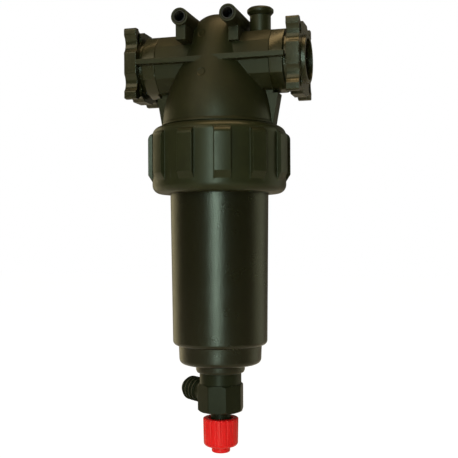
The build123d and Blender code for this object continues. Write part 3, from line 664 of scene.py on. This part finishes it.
class FILTER_OT_knob(bpy.types.Operator):
    """Rounded skin and red plastic for the drain knob, and the screw in its foot"""

    bl_idname = "object.filter_knob"
    bl_label = "Drain knob"

    def execute(self, context):
        sizes, colours = context.scene.filter_sizes, context.scene.filter_colours
        finish = plastic("knob_plastic", colours.knob, 0.36, 1800.0, 0.00002, mottle=0.05, rubs=0.0, gloss=0.16)
        dress(rounded_skin("drain_knob", "drain_knob", sizes.knob_edge_round), finish)
        screw = put_mesh("cross_screw", *self.screw(sizes), "drain_knob")
        dress(screw, metal("screw_steel", colours.steel, 0.3, 12000.0, 0.000003))
        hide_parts("knob_screw")
        dress_node("spindle", metal("spindle_brass", colours.brass, 0.3, 8000.0, 0.000004))
        return {"FINISHED"}

    def screw(self, sizes):
        """A pan head and shank turned about Z. On the head's face the height rises by the recess's depth inside a
        cross of that width, faded out to the recess's reach, so the cross is sunk into the head."""
        low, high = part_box("knob_screw")
        head_r, shank_r, head_h = (high.x - low.x) / 2, 0.0016, 0.00195
        reach = head_r * 0.62
        face_r = np.linspace(0.0, head_r * 0.93, 22)
        profile_r = np.concatenate([face_r, [head_r, head_r, shank_r, shank_r, 0.0]])
        profile_z = np.concatenate(
            [np.full(len(face_r), low.z), [low.z + 0.0004, low.z + head_h, low.z + head_h, high.z, high.z]])
        flat = np.concatenate([np.ones(len(face_r)), np.zeros(5)])
        angle = np.linspace(0, 2 * np.pi, sizes.turn_steps, endpoint=False)
        r, turn = np.meshgrid(profile_r, angle, indexing="ij")
        x, y = r * np.cos(turn), r * np.sin(turn)
        arm = np.minimum(np.abs(x), np.abs(y))
        cross = np.clip((sizes.recess_width / 2 - arm) / 0.00012 + 0.5, 0, 1)
        inside = np.clip((reach - r) / 0.0004, 0, 1)
        z = profile_z[:, None] + flat[:, None] * sizes.recess_depth * cross * inside
        return close_poles(np.stack([x, y, z], -1))


class FILTER_OT_cartridge(bpy.types.Operator):
    """Finishes for the cartridge's cage, caps, mesh and seal"""

    bl_idname = "object.filter_cartridge"
    bl_label = "Cartridge"

    def execute(self, context):
        sizes, colours = context.scene.filter_sizes, context.scene.filter_colours
        cage = plastic("cage_plastic", colours.inner, 0.40, 1300.0, 0.00003, mottle=0.12, rubs=0.3)
        for node in ("cartridge_cage", "cartridge_top_cap", "cartridge_bottom_cap"):
            dress_node(node, cage)
        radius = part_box("filter_mesh")[1].x
        dress_node("filter_mesh", wire_cloth("mesh_steel", colours.steel, sizes.mesh_pitch, radius))
        return {"FINISHED"}


class FILTER_OT_seals(bpy.types.Operator):
    """Rubber for the O-rings, washers and seals"""

    bl_idname = "object.filter_seals"
    bl_label = "Seals"

    def execute(self, context):
        seal = rubber("seal_rubber", context.scene.filter_colours.rubber)
        for node in ("inlet_adapter_o_ring", "outlet_adapter_o_ring", "gauge_plug_o_ring", "bowl_o_ring",
                     "cartridge_seal", "neck_seal", "bonnet_o_ring", "spindle_o_ring", "seat_washer"):
            dress_node(node, seal)
        return {"FINISHED"}


class FILTER_OT_stage(bpy.types.Operator):
    """Floor, lamps, world and camera"""

    bl_idname = "object.filter_stage"
    bl_label = "Stage"

    def execute(self, context):
        stage = context.scene.filter_stage
        self.floor(stage.floor_colour, stage.floor_drop)
        self.world()
        self.lamps(stage)
        self.camera(context, stage)
        return {"FINISHED"}

    def floor(self, colour, drop):
        """A flat square on a grid, clear under the bowl when it is lowered. Its underside is left out of view."""
        along = np.linspace(-6.0, 6.0, 13)
        x, y = np.meshgrid(along, along, indexing="ij")
        mesh = bpy.data.meshes.new("floor")
        mesh.from_pydata(np.stack([x, y, np.full_like(x, -drop)], -1).reshape(-1, 3), [],
                         [list(map(int, f)) for f in grid_faces(13, 13, False)[:, ::-1]])
        floor = bpy.data.objects.new("floor", mesh)
        bpy.context.scene.collection.objects.link(floor)
        material, tree, shader, place = start_material("pale_floor")
        cloud = noise(tree, place, 2.5, 2.0)
        tree.links.new(tint(tree, colour, cloud, 0.02), shader.inputs["Base Color"])
        shader.inputs["Roughness"].default_value = 0.9
        shader.inputs["Specular IOR Level"].default_value = 0.1
        rays = tree.nodes.new("ShaderNodeLightPath")
        seen = math_node(tree, "MAXIMUM", rays.outputs["Is Camera Ray"], rays.outputs["Is Transmission Ray"])
        glow = tree.nodes.new("ShaderNodeEmission")
        glow.inputs["Color"].default_value = (1, 1, 1, 1)
        glow.inputs["Strength"].default_value = 1.12
        mix = tree.nodes.new("ShaderNodeMixShader")
        tree.links.new(math_node(tree, "MULTIPLY", seen, 0.88), mix.inputs[0])
        tree.links.new(shader.outputs[0], mix.inputs[1])
        tree.links.new(glow.outputs[0], mix.inputs[2])
        under = math_node(tree, "MULTIPLY", tree.nodes.new("ShaderNodeNewGeometry").outputs["Backfacing"],
                          rays.outputs["Is Camera Ray"])
        open_under = tree.nodes.new("ShaderNodeMixShader")
        tree.links.new(under, open_under.inputs[0])
        tree.links.new(mix.outputs[0], open_under.inputs[1])
        tree.links.new(tree.nodes.new("ShaderNodeBsdfTransparent").outputs[0], open_under.inputs[2])
        tree.links.new(open_under.outputs[0], tree.nodes["Material Output"].inputs["Surface"])
        mesh.materials.append(material)

    def world(self):
        """White where the camera sees it, and a dim warm grey for the light that reaches the object."""
        world = bpy.data.worlds.new("studio")
        bpy.context.scene.world = world
        world.use_nodes = True
        tree = world.node_tree
        plain = tree.nodes["Background"]
        plain.inputs["Color"].default_value = (1.0, 0.91, 0.66, 1)
        plain.inputs["Strength"].default_value = 0.17
        white = tree.nodes.new("ShaderNodeBackground")
        white.inputs["Color"].default_value = (1, 1, 1, 1)
        white.inputs["Strength"].default_value = 1.0
        rays = tree.nodes.new("ShaderNodeLightPath")
        mix = tree.nodes.new("ShaderNodeMixShader")
        tree.links.new(math_node(tree, "MAXIMUM", rays.outputs["Is Camera Ray"], rays.outputs["Is Transmission Ray"]),
                       mix.inputs[0])
        tree.links.new(plain.outputs[0], mix.inputs[1])
        tree.links.new(white.outputs[0], mix.inputs[2])
        tree.links.new(mix.outputs[0], tree.nodes["World Output"].inputs["Surface"])

    def lamps(self, stage):
        """Soft lamps: a warm key from the upper left, warm sides behind, a warm lamp overhead and a cool strip in
        front.
        """
        warm, cool = stage.warm_power, stage.cool_power
        lamp_list = (
            ("key", (-0.75, -1.55, 1.35), (1.5, 1.1), 18.0 * warm, (1.0, 0.93, 0.78)),
            ("left_back", (-1.0, 0.55, 0.25), (0.8, 1.2), 3.6 * warm, (1.0, 0.88, 0.52)),
            ("right_back", (1.0, 0.65, 0.25), (0.8, 1.2), 3.4 * warm, (0.92, 1.0, 0.72)),
            ("top", (0.1, -0.1, 1.5), (1.1, 0.6), 15.0 * warm, (1.0, 0.74, 0.42)),
            ("cool_strip", (0.165, -1.35, 0.30), (0.17, 0.95), 22.0 * cool, (0.62, 0.91, 1.0)),
        )
        for name, place, size, power, colour in lamp_list:
            lamp = bpy.data.lights.new(name, "AREA")
            lamp.shape = "RECTANGLE"
            lamp.size, lamp.size_y = size
            lamp.energy = power
            lamp.color = colour
            light = bpy.data.objects.new(name, lamp)
            bpy.context.scene.collection.objects.link(light)
            light.location = place
            light.rotation_euler = (Vector((0, 0, 0.18)) - Vector(place)).to_track_quat("-Z", "Y").to_euler()

    def camera(self, context, stage):
        """Level camera at the photographed angle."""
        data = bpy.data.cameras.new("camera")
        data.sensor_width = 36.0
        data.lens = stage.lens
        data.shift_x = stage.shift_right / PHOTO_WIDTH
        data.shift_y = stage.shift_up / PHOTO_WIDTH
        camera = bpy.data.objects.new("camera", data)
        context.scene.collection.objects.link(camera)
        a = stage.azimuth
        camera.location = (stage.distance * math.sin(a), -stage.distance * math.cos(a), stage.height)
        camera.rotation_euler = (math.pi / 2, stage.roll, a)
        context.scene.camera = camera
        context.scene.view_settings.view_transform = "Standard"


class FILTER_PT_panel(bpy.types.Panel):
    """Everything that dresses the filter, in the order in which it is made"""

    bl_idname = "FILTER_PT_panel"
    bl_label = "Line Filter"
    bl_space_type = "VIEW_3D"
    bl_region_type = "UI"
    bl_category = "Line Filter"

    def draw(self, context):
        for group in (context.scene.filter_sizes, context.scene.filter_colours, context.scene.filter_stage):
            column = self.layout.column(align=True)
            for name in group.__annotations__:
                column.prop(group, name)
        for operator in OPERATORS:
            self.layout.operator(operator.bl_idname)


OPERATORS = (
    FILTER_OT_stage, FILTER_OT_head, FILTER_OT_inserts, FILTER_OT_ring_nut, FILTER_OT_bowl,
    FILTER_OT_drain_valve, FILTER_OT_knob, FILTER_OT_cartridge, FILTER_OT_seals,
)
CLASSES = (FilterSizes, FilterColours, FilterStage) + OPERATORS + (FILTER_PT_panel,)


def register():
    for cls in CLASSES:
        bpy.utils.register_class(cls)
    bpy.types.Scene.filter_sizes = PointerProperty(type=FilterSizes)
    bpy.types.Scene.filter_colours = PointerProperty(type=FilterColours)
    bpy.types.Scene.filter_stage = PointerProperty(type=FilterStage)


def unregister():
    del bpy.types.Scene.filter_stage
    del bpy.types.Scene.filter_colours
    del bpy.types.Scene.filter_sizes
    for cls in reversed(CLASSES):
        bpy.utils.unregister_class(cls)


def main():
    register()
    for operator in OPERATORS:
        group, name = operator.bl_idname.split(".")
        getattr(getattr(bpy.ops, group), name)()


if __name__ == "__main__":
    main()
